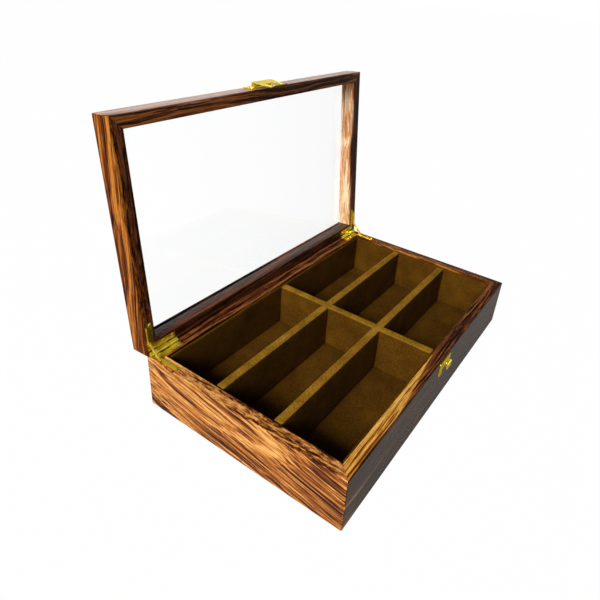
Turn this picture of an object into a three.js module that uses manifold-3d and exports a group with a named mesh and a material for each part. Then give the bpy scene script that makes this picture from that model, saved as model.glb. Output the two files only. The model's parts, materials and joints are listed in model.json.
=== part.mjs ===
// Six-compartment glasses box with a framed glass lid on stay hinges and a brass front latch.
// Millimetres, +Z up. The origin is the centre of the underside, the front (latch side) faces -Y,
// and the lid stands open, which is the rest position of every joint.

import * as THREE from 'three';
import { mergeVertices } from 'three/addons/utils/BufferGeometryUtils.js';
import Module from 'manifold-3d';

const wasm = await Module();
wasm.setup();

// ---- Box ----
const LENGTH = 340;
const WIDTH = 202;
const BASE_HEIGHT = 52;
const WALL = 11;
const BOTTOM_THICKNESS = 4;

// ---- Lining, all of board covered with cloth ----
const LINING_TOP = BASE_HEIGHT - 1.5;
const LINER_THICKNESS = 2.2;
const DIVIDER_THICKNESS = 8;
const LONG_DIVIDER_Y = 30;
const LAP_CLEARANCE = 0.3;
const LINING_CLEARANCE = 0.2;
const PAD_THICKNESS = 1.5;

// ---- Lid ----
const LID_DEPTH = 19;
const OPEN_ANGLE = THREE.MathUtils.degToRad(94.5);
const RIM_GAP = 0.6;
const MITRE_GAP = 0.1;
const GLASS_THICKNESS = 2;
const GLASS_FROM_RIM = 13.7;
const GROOVE_DEPTH = 4;
const GROOVE_CLEARANCE = 0.3;

// ---- Stay hinge: distances forward of the hinge axis, and inward from the box's end face ----
const BARREL_RADIUS = 2.3;
const BARREL_BORE = 1.06;
const HINGE_PIN_RADIUS = 0.95;
const LEAF_THICKNESS = 0.8;
const LEAF_START = 2.9;
const LEAF_BACK_ARM_WIDTH = 8.8;
const LEAF_BACK_ARM_END = 32;
const LEAF_SIDE_ARM_LENGTH = 31;
const LEAF_SIDE_ARM_INNER = 9.6;
const LEAF_CORNER_RADIUS = 1.5;
const LID_FLANGE_AT = 2.1;
const STAY_AT = 3.1;
const BASE_FLANGE_AT = 4.5;
const FLANGE_REACH = 1.2;
const FLANGE_START = 9.5;
const LID_FLANGE_END = 27;
const BASE_FLANGE_END = 30.6;
const KNUCKLE_ENDS = [2.1, 12, 22, 32];
const KNUCKLE_GAP = 0.15;
const MORTISE_CLEARANCE = 0.4;
const BARREL_NOTCH = 0.5;

// ---- Stay: a link from a rivet on the lid flange to a pin that slides along the base flange ----
const STAY_RIVET_FROM_AXIS = 12;
const STAY_PIN_WHEN_OPEN = 11;
const STAY_WIDTH = 2.7;
const RIVET_RADIUS = 0.62;
const RIVET_HOLE = 0.75;
const SLOT_HALF_HEIGHT = 0.72;
const RIVET_HEAD_RADIUS = 1.12;
const RIVET_HEAD_THICKNESS = 0.3;
const RIVET_END_PLAY = 0.05;
const RIVET_OUTER_HEAD_THICKNESS = 0.35;
const SLIDER_COLLAR_THICKNESS = 0.4;

// ---- Latch: heights from the lid's rim, and outward from the front face ----
const LATCH_PLATE_WIDTH = 30;
const LATCH_PLATE_BOTTOM = 5.1;
const LATCH_PLATE_TOP = 16.5;
const LATCH_PLATE_CORNER = 1.2;
const KNUCKLE_OVERLAP = 0.2;
const BRASS_SHEET = 0.9;
const SHEET_STANDOFF = 0.1;
const LATCH_AXIS_UP = 7;
const LATCH_AXIS_OUT = 3.1;
const LATCH_BARREL_RADIUS = 1.9;
const LATCH_BORE = 0.95;
const LATCH_PIN_RADIUS = 0.85;
const LEVER_KNUCKLE_HALF = 7;
const PLATE_KNUCKLE_INNER = 7.25;
const PLATE_KNUCKLE_OUTER = 12;
const LEVER_OFFSET = 2.15;
const LEVER_LENGTH = 24;
const LEVER_LIP_FROM = 20.5;
const LEVER_LIP_FLARE = 1.6;
const LEVER_SLOPE = 0.14;
const LEVER_TOP_HALF_WIDTH = 13.5;
const LEVER_TIP_HALF_WIDTH = 10;
const LEVER_SHOULDER = 3.5;
const LEVER_CORNER_RADIUS = 1.25;
const LEVER_CUTTER_DEPTH = 10;
const WINDOW_TOP = 10;
const WINDOW_BOTTOM = 19;
const WINDOW_TOP_HALF_WIDTH = 7;
const WINDOW_BOTTOM_HALF_WIDTH = 6;
const WINDOW_CORNER = 1;
const ROLL_WALL_OVERLAP = 0.3;

// ---- Catch: heights below the base's rim ----
const CATCH_HALF_WIDTH = 12;
const CATCH_TOP = 3.2;
const CATCH_BOTTOM = 17.7;
const CATCH_NOTCH_HALF_WIDTH = 5.2;
const CATCH_NOTCH_TOP = 11.5;
const HOOK_HALF_WIDTH = 4.5;
const HOOK_TOP = 4.6;
const HOOK_BOTTOM = 10.8;
const HOOK_REACH = 5;
const HOOK_THICKNESS = 1;
const CATCH_CORNER = 1;

// ---- Screws ----
const SCREW_HEAD_RADIUS = 1.8;
const SCREW_HEAD_HEIGHT = 0.45;
const SCREW_SHANK_RADIUS = 1.1;
const SCREW_POINT = 2.2;
const SCREW_HEAD_RIM_SHARE = 0.4;
const SCREW_CROWN_RADIUS_SHARE = 0.65;
const SCREW_CROWN_SHARE = 0.9;
const SCREW_SLOT_HALF_WIDTH = 0.25;
const SCREW_SLOT_FLOOR_SHARE = 0.45;
const SCREW_SEAT = 0.02;
const HINGE_SCREW_LENGTH = 9;
const FACE_SCREW_LENGTH = 7;
const SCREW_HOLE = 1.3;
const PILOT_CLEARANCE = 0.12;
const PILOT_EXTRA_DEPTH = 0.5;
const HINGE_SCREWS = [[7.5, 27], [19, 5.7], [29, 5.7]];
const LATCH_SCREW_X = 11;
const LATCH_SCREW_UP = 13;
const CATCH_SCREW_X = 8.6;
const CATCH_SCREW_DOWN = 7;

// ---- Derived ----
const HALF_LENGTH = LENGTH / 2;
const HALF_WIDTH = WIDTH / 2;
const AXIS_TO_RIM = RIM_GAP / 2;
const AXIS_Z = BASE_HEIGHT + AXIS_TO_RIM;
const LEAF_FACE = BARREL_RADIUS - LEAF_THICKNESS;
const STAY_PIN_RISE = STAY_RIVET_FROM_AXIS * Math.sin(OPEN_ANGLE);
const STAY_PIN_RUN = STAY_PIN_WHEN_OPEN - STAY_RIVET_FROM_AXIS * Math.cos(OPEN_ANGLE);
const STAY_LENGTH = Math.hypot(STAY_PIN_RISE, STAY_PIN_RUN);
const STAY_ANGLE_OPEN = Math.atan2(STAY_PIN_RISE, STAY_PIN_RUN);
const STAY_PIN_WHEN_CLOSED = STAY_RIVET_FROM_AXIS + STAY_LENGTH;

// ---- Materials ----
function finish(colour, roughness, metalness) {
  return new THREE.MeshStandardMaterial({ color: colour, roughness, metalness });
}

const ROSEWOOD_LIGHT = finish(0x9a5424, 0.35, 0);
const ROSEWOOD_DARK = finish(0x4a2414, 0.3, 0);
const PLYWOOD = finish(0x8a6a44, 0.7, 0);
const LINING = finish(0x5c430f, 0.85, 0);
const BRASS = finish(0xe0b63a, 0.25, 1);
const GLASS = new THREE.MeshStandardMaterial({
  color: 0xf2f7f5, roughness: 0.05, metalness: 0, transparent: true, opacity: 0.2,
});

// ---- Shapes and solids ----
const ROUND_SEGMENTS = 28;
const SMALL_ROUND_SEGMENTS = 20;
const CURVE_SEGMENTS = 10;
const MERGE_TOLERANCE = 1e-4;
// How far a cutter reaches past the surface it opens.
const CUT_PAST = 1;

function indexed(geometry) {
  const bare = geometry.clone();
  bare.deleteAttribute('normal');
  bare.deleteAttribute('uv');
  bare.clearGroups();
  return mergeVertices(bare, MERGE_TOLERANCE);
}

function toSolid(geometry) {
  const merged = indexed(geometry);
  const triVerts = Uint32Array.from(merged.index.array);
  const vertProperties = Float32Array.from(merged.attributes.position.array);
  return new wasm.Manifold(new wasm.Mesh({ numProp: 3, vertProperties, triVerts }));
}

function toGeometry(solid) {
  const mesh = solid.getMesh();
  const geometry = new THREE.BufferGeometry();
  geometry.setAttribute('position', new THREE.BufferAttribute(Float32Array.from(mesh.vertProperties), 3));
  geometry.setIndex(new THREE.BufferAttribute(Uint32Array.from(mesh.triVerts), 1));
  geometry.computeVertexNormals();
  return geometry;
}

function joined(...geometries) {
  return toGeometry(geometries.map(toSolid).reduce((whole, piece) => whole.add(piece)));
}

function cut(geometry, ...cutters) {
  return toGeometry(cutters.map(toSolid).reduce((left, cutter) => left.subtract(cutter), toSolid(geometry)));
}

function block(x0, x1, y0, y1, z0, z1) {
  const geometry = new THREE.BoxGeometry(x1 - x0, y1 - y0, z1 - z0);
  geometry.translate((x0 + x1) / 2, (y0 + y1) / 2, (z0 + z1) / 2);
  return geometry;
}

function extruded(shape, depth) {
  return new THREE.ExtrudeGeometry(shape, { depth, bevelEnabled: false, curveSegments: CURVE_SEGMENTS });
}

// A plan shape in X and Y, from height z0 to z1.
function upright(shape, z0, z1) {
  return extruded(shape, z1 - z0).translate(0, 0, z0);
}

// A side shape drawn as Y and Z, from x0 to x1.
function acrossX(shape, x0, x1) {
  const turn = new THREE.Matrix4().set(0, 0, 1, x0, 1, 0, 0, 0, 0, 1, 0, 0, 0, 0, 0, 1);
  return extruded(shape, x1 - x0).applyMatrix4(turn);
}

// A front shape drawn as X and Z, standing out towards -Y from y = -inner to y = -outer.
function facingFront(shape, inner, outer) {
  return extruded(shape, outer - inner).rotateX(Math.PI / 2).translate(0, -inner, 0);
}

function rodAlongX(radius, x0, x1, segments = ROUND_SEGMENTS) {
  const geometry = new THREE.CylinderGeometry(radius, radius, x1 - x0, segments);
  return geometry.rotateZ(Math.PI / 2).translate((x0 + x1) / 2, 0, 0);
}

function rodAlongY(radius, y0, y1) {
  const geometry = new THREE.CylinderGeometry(radius, radius, y1 - y0, SMALL_ROUND_SEGMENTS);
  return geometry.translate(0, (y0 + y1) / 2, 0);
}

function rodAlongZ(radius, z0, z1) {
  const geometry = new THREE.CylinderGeometry(radius, radius, z1 - z0, SMALL_ROUND_SEGMENTS);
  return geometry.rotateX(Math.PI / 2).translate(0, 0, (z0 + z1) / 2);
}

function polygon(points) {
  return new THREE.Shape(points.map(([a, b]) => new THREE.Vector2(a, b)));
}

// A closed outline whose sharp corners are rounded with one radius.
function roundedPolygon(points, radius) {
  const corners = points.map(([a, b]) => new THREE.Vector2(a, b));
  const shape = new THREE.Shape();
  corners.forEach((corner, i) => {
    const before = corners[(i + corners.length - 1) % corners.length];
    const after = corners[(i + 1) % corners.length];
    const enter = corner.clone().add(before.clone().sub(corner).setLength(radius));
    const leave = corner.clone().add(after.clone().sub(corner).setLength(radius));
    if (i === 0) shape.moveTo(enter.x, enter.y);
    else shape.lineTo(enter.x, enter.y);
    shape.quadraticCurveTo(corner.x, corner.y, leave.x, leave.y);
  });
  shape.closePath();
  return shape;
}

function mirroredInX(geometry) {
  const flipped = indexed(geometry);
  flipped.scale(-1, 1, 1);
  const { index } = flipped;
  for (let i = 0; i < index.count; i += 3) {
    const second = index.getX(i + 1);
    index.setX(i + 1, index.getX(i + 2));
    index.setX(i + 2, second);
  }
  flipped.computeVertexNormals();
  return flipped;
}

function piece(name, geometry, material, x = 0, y = 0, z = 0) {
  const mesh = new THREE.Mesh(geometry, material);
  mesh.name = name;
  mesh.position.set(x, y, z);
  return mesh;
}

// ---- Mitred boards ----
// A board lies along X with its outer face on y = 0. The profile gives depth inward and height.
function mitredBoard(length, profile, endGap) {
  const geometry = extruded(polygon(profile), 1);
  const { position } = geometry.attributes;
  for (let i = 0; i < position.count; i += 1) {
    const inward = position.getX(i);
    const height = position.getY(i);
    const side = position.getZ(i) > 0.5 ? 1 : -1;
    position.setXYZ(i, side * (length / 2 - inward - endGap), inward, height);
  }
  return geometry;
}

// The four boards of a frame centred on (0, centreY), each mapped to its own side.
function frameBoards(profile, endGap, centreY) {
  const place = (length, turn, x, y) => (
    mitredBoard(length, profile, endGap).rotateZ(turn).translate(x, y + centreY, 0)
  );
  return {
    front: place(LENGTH, 0, 0, -HALF_WIDTH),
    right: place(WIDTH, Math.PI / 2, HALF_LENGTH, 0),
    back: place(LENGTH, Math.PI, 0, HALF_WIDTH),
    left: place(WIDTH, -Math.PI / 2, -HALF_LENGTH, 0),
  };
}

// ---- Screws: the head's underside is at z = 0 and the shank points down ----
function screwGeometry(length) {
  const profile = [
    [0, -length],
    [SCREW_SHANK_RADIUS, SCREW_POINT - length],
    [SCREW_SHANK_RADIUS, 0],
    [SCREW_HEAD_RADIUS, 0],
    [SCREW_HEAD_RADIUS, SCREW_HEAD_HEIGHT * SCREW_HEAD_RIM_SHARE],
    [SCREW_HEAD_RADIUS * SCREW_CROWN_RADIUS_SHARE, SCREW_HEAD_HEIGHT * SCREW_CROWN_SHARE],
    [0, SCREW_HEAD_HEIGHT],
  ];
  const points = profile.map(([r, z]) => new THREE.Vector2(r, z));
  const body = new THREE.LatheGeometry(points, SMALL_ROUND_SEGMENTS).rotateX(Math.PI / 2);
  const half = SCREW_HEAD_RADIUS;
  const slot = block(-half, half, -SCREW_SLOT_HALF_WIDTH, SCREW_SLOT_HALF_WIDTH,
    SCREW_HEAD_HEIGHT * SCREW_SLOT_FLOOR_SHARE, SCREW_HEAD_HEIGHT + CUT_PAST);
  return cut(body, slot);
}

const HINGE_SCREW = screwGeometry(HINGE_SCREW_LENGTH);
const FACE_SCREW = screwGeometry(FACE_SCREW_LENGTH);

// ---- Stay hinge, left hand, in the frame of its axis: X along the axis, forward is -Y ----
const fromLeftEnd = (inward) => inward - HALF_LENGTH;

function leafOutline(outerEdge) {
  const left = fromLeftEnd(outerEdge);
  const inner = fromLeftEnd(LEAF_SIDE_ARM_INNER);
  const tip = (inner - left) / 2;
  const tipY = tip - LEAF_SIDE_ARM_LENGTH;
  const end = fromLeftEnd(LEAF_BACK_ARM_END);
  const shape = new THREE.Shape();
  shape.moveTo(left, -LEAF_START);
  shape.lineTo(left, tipY);
  shape.absarc(left + tip, tipY, tip, Math.PI, 2 * Math.PI, false);
  shape.lineTo(inner, -LEAF_BACK_ARM_WIDTH);
  shape.lineTo(end - LEAF_CORNER_RADIUS, -LEAF_BACK_ARM_WIDTH);
  shape.absarc(end - LEAF_CORNER_RADIUS, LEAF_CORNER_RADIUS - LEAF_BACK_ARM_WIDTH,
    LEAF_CORNER_RADIUS, -Math.PI / 2, 0, false);
  shape.lineTo(end, -LEAF_START);
  shape.closePath();
  return shape;
}

function knuckle(x0, x1, plateZ) {
  const ring = rodAlongX(BARREL_RADIUS, x0, x1);
  const tongue = block(x0, x1, -LEAF_START - KNUCKLE_GAP, 0, plateZ, plateZ + LEAF_THICKNESS);
  return [ring, tongue];
}

// One leaf: side is -1 for the leaf under the axis (base) and 1 for the leaf above it (lid).
function leafGeometry(side, outerEdge, flangeEnd, knuckles) {
  const plateZ = side < 0 ? -BARREL_RADIUS : LEAF_FACE;
  const plate = upright(leafOutline(outerEdge), plateZ, plateZ + LEAF_THICKNESS);
  const foot = side * (LEAF_FACE + LEAF_THICKNESS / 2);
  const edge = -side * FLANGE_REACH;
  const flangeX = fromLeftEnd(outerEdge);
  const flange = block(flangeX, flangeX + LEAF_THICKNESS, -flangeEnd, -FLANGE_START,
    Math.min(foot, edge), Math.max(foot, edge));
  const rolls = knuckles.flatMap(([a, b]) => knuckle(fromLeftEnd(a), fromLeftEnd(b), plateZ));
  const bore = rodAlongX(BARREL_BORE, -HALF_LENGTH, fromLeftEnd(LEAF_BACK_ARM_END + CUT_PAST));
  const holes = HINGE_SCREWS.map(([inward, forward]) => (
    rodAlongZ(SCREW_HOLE, plateZ - CUT_PAST, plateZ + LEAF_THICKNESS + CUT_PAST)
      .translate(fromLeftEnd(inward), -forward, 0)
  ));
  return cut(joined(plate, flange, ...rolls), bore, ...holes);
}

function slottedBaseLeaf() {
  const [a, b, c, d] = KNUCKLE_ENDS;
  const rolls = [[a, b - KNUCKLE_GAP], [c + KNUCKLE_GAP, d]];
  const leaf = leafGeometry(-1, BASE_FLANGE_AT, BASE_FLANGE_END, rolls);
  const flangeBack = BASE_FLANGE_AT + LEAF_THICKNESS;
  const slot = block(fromLeftEnd(BASE_FLANGE_AT - CUT_PAST), fromLeftEnd(flangeBack + CUT_PAST),
    -STAY_PIN_WHEN_CLOSED - SLOT_HALF_HEIGHT, SLOT_HALF_HEIGHT - STAY_PIN_WHEN_OPEN,
    -SLOT_HALF_HEIGHT, SLOT_HALF_HEIGHT);
  return cut(leaf, slot);
}

function rivetedLidLeaf() {
  const [, b, c] = KNUCKLE_ENDS;
  const leaf = leafGeometry(1, LID_FLANGE_AT, LID_FLANGE_END, [[b, c]]);
  const flangeBack = LID_FLANGE_AT + LEAF_THICKNESS;
  const hole = rodAlongX(RIVET_HOLE, fromLeftEnd(LID_FLANGE_AT - CUT_PAST),
    fromLeftEnd(flangeBack + CUT_PAST), SMALL_ROUND_SEGMENTS).translate(0, -STAY_RIVET_FROM_AXIS, 0);
  return cut(leaf, hole);
}

// The stay as it lies when the lid is closed: straight forward from the lid rivet.
function stayGeometry() {
  const half = STAY_WIDTH / 2;
  const shape = new THREE.Shape();
  shape.absarc(0, 0, half, -Math.PI / 2, Math.PI / 2, false);
  shape.absarc(-STAY_LENGTH, 0, half, Math.PI / 2, 1.5 * Math.PI, false);
  shape.closePath();
  for (const y of [0, -STAY_LENGTH]) {
    const hole = new THREE.Path();
    hole.absarc(y, 0, RIVET_HOLE, 0, 2 * Math.PI, true);
    shape.holes.push(hole);
  }
  return acrossX(shape, fromLeftEnd(STAY_AT), fromLeftEnd(STAY_AT + LEAF_THICKNESS));
}

function headedRivet(x0, x1, headX0, headX1) {
  const shank = rodAlongX(RIVET_RADIUS, fromLeftEnd(x0), fromLeftEnd(x1), SMALL_ROUND_SEGMENTS);
  const head = rodAlongX(RIVET_HEAD_RADIUS, fromLeftEnd(headX0), fromLeftEnd(headX1), SMALL_ROUND_SEGMENTS);
  return joined(shank, head);
}

// Runs from outside the lid flange, through flange and stay, and is headed over inside.
function lidRivetGeometry() {
  const outerFace = LID_FLANGE_AT - RIVET_END_PLAY;
  const outerEnd = outerFace - RIVET_OUTER_HEAD_THICKNESS;
  const inside = STAY_AT + LEAF_THICKNESS + RIVET_END_PLAY;
  const innerEnd = inside + RIVET_HEAD_THICKNESS;
  const rivet = headedRivet((outerEnd + outerFace) / 2, innerEnd, inside, innerEnd);
  const outerHead = rodAlongX(RIVET_HEAD_RADIUS, fromLeftEnd(outerEnd), fromLeftEnd(outerFace),
    SMALL_ROUND_SEGMENTS);
  return joined(rivet, outerHead);
}

// Sits in the stay's far hole with its collar beside the base flange's slot.
function sliderPinGeometry() {
  const collar = STAY_AT + LEAF_THICKNESS + RIVET_END_PLAY;
  const end = collar + SLIDER_COLLAR_THICKNESS;
  return headedRivet(STAY_AT, end, collar, end);
}

function hingePinGeometry() {
  const [start, , , end] = KNUCKLE_ENDS;
  return rodAlongX(HINGE_PIN_RADIUS, fromLeftEnd(start), fromLeftEnd(end));
}

// The recess that lets one leaf and its barrel into a rim, and the pilot holes of its screws.
function hingeMortise(side) {
  const outer = LID_FLANGE_AT - MORTISE_CLEARANCE;
  const inner = LEAF_SIDE_ARM_INNER + MORTISE_CLEARANCE;
  const arm = LEAF_SIDE_ARM_LENGTH + MORTISE_CLEARANCE;
  const end = LEAF_BACK_ARM_END + MORTISE_CLEARANCE;
  const depth = LEAF_FACE + LEAF_THICKNESS + (side > 0 ? SHEET_STANDOFF : 0);
  const layer = (x0, x1, forward, reach) => block(fromLeftEnd(x0), fromLeftEnd(x1), -forward, CUT_PAST,
    Math.min(0, side * reach), Math.max(0, side * reach));
  const pilots = HINGE_SCREWS.map(([inward, forward]) => (
    rodAlongZ(SCREW_SHANK_RADIUS + PILOT_CLEARANCE, 0, HINGE_SCREW_LENGTH + LEAF_FACE + PILOT_EXTRA_DEPTH)
      .rotateX(side < 0 ? Math.PI : 0)
      .translate(fromLeftEnd(inward), -forward, 0)
  ));
  return [
    layer(outer, inner, arm, depth),
    layer(outer, end, LEAF_BACK_ARM_WIDTH + MORTISE_CLEARANCE, depth),
    layer(outer, end, BARREL_RADIUS + BARREL_NOTCH, BARREL_RADIUS + BARREL_NOTCH),
    ...pilots,
  ];
}

// The pilot hole of a screw driven into a front face at y = 0.
function facePilot() {
  return rodAlongY(SCREW_SHANK_RADIUS + PILOT_CLEARANCE, -CUT_PAST, FACE_SCREW_LENGTH + PILOT_EXTRA_DEPTH);
}

function bothHands(geometries) {
  return [...geometries, ...geometries.map(mirroredInX)];
}

// ---- Base ----
function baseWalls() {
  const boards = frameBoards([[0, 0], [WALL, 0], [WALL, BASE_HEIGHT], [0, BASE_HEIGHT]], 0, 0);
  const mortises = hingeMortise(-1).map((cutter) => cutter.translate(0, HALF_WIDTH, AXIS_Z));
  const pilot = facePilot();
  const catchPilots = [-1, 1].map((side) => (
    pilot.clone().translate(side * CATCH_SCREW_X, -HALF_WIDTH, BASE_HEIGHT - CATCH_SCREW_DOWN)
  ));
  return [
    piece('base_front_wall', cut(boards.front, ...catchPilots), ROSEWOOD_DARK),
    piece('base_back_wall', cut(boards.back, ...bothHands(mortises)), ROSEWOOD_DARK),
    piece('base_left_wall', cut(boards.left, ...mortises), ROSEWOOD_LIGHT),
    piece('base_right_wall', cut(boards.right, ...mortises.map(mirroredInX)), ROSEWOOD_LIGHT),
  ];
}

function bottomPanel() {
  const x = HALF_LENGTH - WALL;
  const y = HALF_WIDTH - WALL;
  return piece('base_bottom_panel', block(-x, x, -y, y, 0, BOTTOM_THICKNESS), PLYWOOD);
}

// ---- Lining ----
const INNER_X = HALF_LENGTH - WALL - LINER_THICKNESS;
const INNER_Y = HALF_WIDTH - WALL - LINER_THICKNESS;
const HALF_DIVIDER = DIVIDER_THICKNESS / 2;
const LAP_HEIGHT = (BOTTOM_THICKNESS + LINING_TOP) / 2;

function liners() {
  const wallX = HALF_LENGTH - WALL;
  const wallY = HALF_WIDTH - WALL;
  const panel = (x0, x1, y0, y1) => block(x0, x1, y0, y1, BOTTOM_THICKNESS, LINING_TOP);
  return [
    piece('liner_front', panel(-wallX, wallX, -wallY, -INNER_Y), LINING),
    piece('liner_back', panel(-wallX, wallX, INNER_Y, wallY), LINING),
    piece('liner_left', panel(-wallX, -INNER_X, -INNER_Y, INNER_Y), LINING),
    piece('liner_right', panel(INNER_X, wallX, -INNER_Y, INNER_Y), LINING),
  ];
}

// Two long dividers are notched from below and the cross divider from above, so they lap.
function dividers() {
  const reachX = INNER_X - LINING_CLEARANCE;
  const reachY = INNER_Y - LINING_CLEARANCE;
  const lap = HALF_DIVIDER + LAP_CLEARANCE;
  const long = cut(
    block(-reachX, reachX, -HALF_DIVIDER, HALF_DIVIDER, BOTTOM_THICKNESS, LINING_TOP),
    block(-lap, lap, -lap, lap, 0, LAP_HEIGHT + LAP_CLEARANCE),
  );
  const notches = [-LONG_DIVIDER_Y, LONG_DIVIDER_Y].map((y) => (
    block(-lap, lap, y - lap, y + lap, LAP_HEIGHT, BASE_HEIGHT)
  ));
  const cross = cut(
    block(-HALF_DIVIDER, HALF_DIVIDER, -reachY, reachY, BOTTOM_THICKNESS, LINING_TOP),
    ...notches,
  );
  return [
    piece('divider_long_front', long, LINING, 0, -LONG_DIVIDER_Y),
    piece('divider_long_rear', long, LINING, 0, LONG_DIVIDER_Y),
    piece('divider_cross', cross, LINING),
  ];
}

// One padded board in the floor of each compartment, numbered from the front left.
function floorPads() {
  const columns = [
    [-INNER_X, -HALF_DIVIDER],
    [HALF_DIVIDER, INNER_X],
  ];
  const rows = [
    [-INNER_Y, -LONG_DIVIDER_Y - HALF_DIVIDER],
    [HALF_DIVIDER - LONG_DIVIDER_Y, LONG_DIVIDER_Y - HALF_DIVIDER],
    [LONG_DIVIDER_Y + HALF_DIVIDER, INNER_Y],
  ];
  const cells = rows.flatMap((row) => columns.map((column) => [column, row]));
  return cells.map(([[x0, x1], [y0, y1]], i) => {
    const pad = block(x0 + LINING_CLEARANCE, x1 - LINING_CLEARANCE, y0 + LINING_CLEARANCE,
      y1 - LINING_CLEARANCE, 0, PAD_THICKNESS);
    return piece(`floor_pad_${i + 1}`, pad, LINING, 0, 0, BOTTOM_THICKNESS);
  });
}

// ---- Lid, in the frame of the hinge axis as it lies when closed ----
function lidFrame() {
  const grooveLow = GLASS_FROM_RIM - GROOVE_CLEARANCE;
  const grooveHigh = GLASS_FROM_RIM + GLASS_THICKNESS + GROOVE_CLEARANCE;
  const profile = [
    [0, 0],
    [WALL, 0],
    [WALL, grooveLow],
    [WALL - GROOVE_DEPTH, grooveLow],
    [WALL - GROOVE_DEPTH, grooveHigh],
    [WALL, grooveHigh],
    [WALL, LID_DEPTH],
    [0, LID_DEPTH],
  ];
  const boards = frameBoards(profile, MITRE_GAP, -HALF_WIDTH);
  Object.values(boards).forEach((board) => board.translate(0, 0, AXIS_TO_RIM));
  const mortises = hingeMortise(1);
  const pilot = facePilot();
  const latchPilots = [-1, 1].map((side) => (
    pilot.clone().translate(side * LATCH_SCREW_X, -WIDTH, AXIS_TO_RIM + LATCH_SCREW_UP)
  ));
  return [
    piece('lid_front_rail', cut(boards.front, ...latchPilots), ROSEWOOD_DARK),
    piece('lid_back_rail', cut(boards.back, ...bothHands(mortises)), ROSEWOOD_LIGHT),
    piece('lid_left_rail', cut(boards.left, ...mortises), ROSEWOOD_LIGHT),
    piece('lid_right_rail', cut(boards.right, ...mortises.map(mirroredInX)), ROSEWOOD_LIGHT),
  ];
}

function lidGlass() {
  const inset = WALL - GROOVE_DEPTH + GROOVE_CLEARANCE;
  const x = HALF_LENGTH - inset;
  const low = AXIS_TO_RIM + GLASS_FROM_RIM;
  return piece('lid_glass', block(-x, x, inset - WIDTH, -inset, low, low + GLASS_THICKNESS), GLASS);
}

// ---- Hinge assemblies ----
function hingeScrews(prefix, hand, side) {
  return HINGE_SCREWS.map(([inward, forward], i) => {
    const screw = piece(`${prefix}_screw_${i + 1}`, HINGE_SCREW, BRASS,
      hand * fromLeftEnd(inward), -forward, side * (LEAF_FACE - SCREW_SEAT));
    screw.rotation.x = side > 0 ? Math.PI : 0;
    return screw;
  });
}

function hingePieces(label, hand) {
  const handed = (geometry) => (hand > 0 ? geometry : mirroredInX(geometry));
  const onBase = [
    piece(`${label}_hinge_base_leaf`, handed(slottedBaseLeaf()), BRASS),
    piece(`${label}_hinge_pin`, handed(hingePinGeometry()), BRASS),
    ...hingeScrews(`${label}_hinge_base`, hand, -1),
  ];
  const stay = new THREE.Group();
  stay.position.set(0, -STAY_RIVET_FROM_AXIS, 0);
  stay.rotation.x = OPEN_ANGLE + STAY_ANGLE_OPEN;
  stay.add(piece(`${label}_stay`, handed(stayGeometry()), BRASS));
  stay.add(piece(`${label}_stay_slider_pin`, handed(sliderPinGeometry()), BRASS, 0, -STAY_LENGTH, 0));
  const onLid = [
    piece(`${label}_hinge_lid_leaf`, handed(rivetedLidLeaf()), BRASS),
    piece(`${label}_stay_rivet`, handed(lidRivetGeometry()), BRASS, 0, -STAY_RIVET_FROM_AXIS, 0),
    ...hingeScrews(`${label}_hinge_lid`, hand, 1),
    stay,
  ];
  return { onBase, onLid };
}

// A screw's hole through a brass sheet that lies on a front face at y = 0.
function faceScrewHole() {
  return rodAlongY(SCREW_HOLE, -SHEET_STANDOFF - BRASS_SHEET - CUT_PAST, CUT_PAST);
}

// ---- Latch, in its own frame: x across, y = 0 on the front face, z = 0 on the lid's rim ----
function latchPlate() {
  const half = LATCH_PLATE_WIDTH / 2;
  const outline = roundedPolygon([
    [-half, LATCH_PLATE_BOTTOM],
    [half, LATCH_PLATE_BOTTOM],
    [half, LATCH_PLATE_TOP],
    [-half, LATCH_PLATE_TOP],
  ], LATCH_PLATE_CORNER);
  const sheet = facingFront(outline, SHEET_STANDOFF, SHEET_STANDOFF + BRASS_SHEET);
  const knuckles = [-1, 1].flatMap((side) => {
    const x0 = Math.min(side * PLATE_KNUCKLE_INNER, side * PLATE_KNUCKLE_OUTER);
    const x1 = Math.max(side * PLATE_KNUCKLE_INNER, side * PLATE_KNUCKLE_OUTER);
    const roll = rodAlongX(LATCH_BARREL_RADIUS, x0, x1).translate(0, -LATCH_AXIS_OUT, LATCH_AXIS_UP);
    const web = block(x0, x1, -LATCH_AXIS_OUT, -SHEET_STANDOFF - KNUCKLE_OVERLAP,
      LATCH_AXIS_UP - LATCH_BARREL_RADIUS, LATCH_AXIS_UP);
    return [roll, web];
  });
  const bore = rodAlongX(LATCH_BORE, -half, half).translate(0, -LATCH_AXIS_OUT, LATCH_AXIS_UP);
  const holes = [-1, 1].map((side) => (
    faceScrewHole().translate(side * LATCH_SCREW_X, 0, LATCH_SCREW_UP)
  ));
  return cut(joined(sheet, ...knuckles), bore, ...holes);
}

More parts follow.
